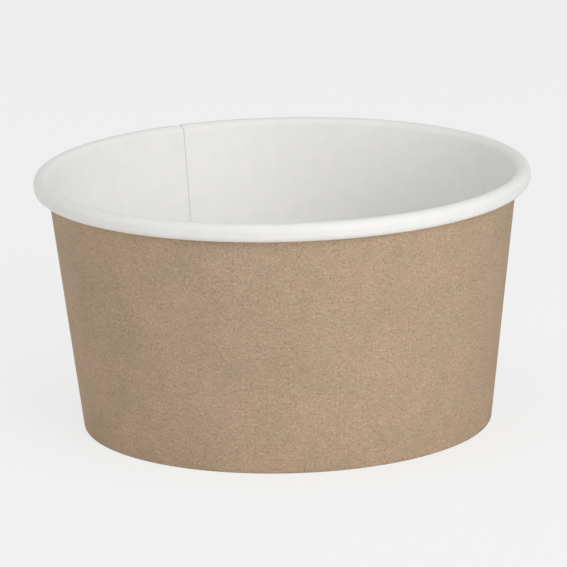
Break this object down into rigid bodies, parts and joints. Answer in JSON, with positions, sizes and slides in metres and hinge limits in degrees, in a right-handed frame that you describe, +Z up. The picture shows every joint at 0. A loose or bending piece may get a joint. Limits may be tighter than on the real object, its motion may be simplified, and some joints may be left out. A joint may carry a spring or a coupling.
{
  "type": "paper ice cream tub",
  "caption": "Round tapered paper food tub, kraft outside and white inside, with a rolled rim, a lapped side seam and a recessed base.",
  "frame": {"origin": "centre of the standing ring, on the surface that the tub stands on", "axes": "+Z up the tub's axis, +Y towards the side seam"},
  "size_m": [0.1154, 0.1154, 0.06],
  "materials": {
    "kraft_board": "matte kraft outside, coated white inside",
    "white_board": "coated white, satin"
  },
  "bodies": {
    "root": {"side_wall": "kraft_board", "base_disc": "white_board"}
  },
  "joints": []
}
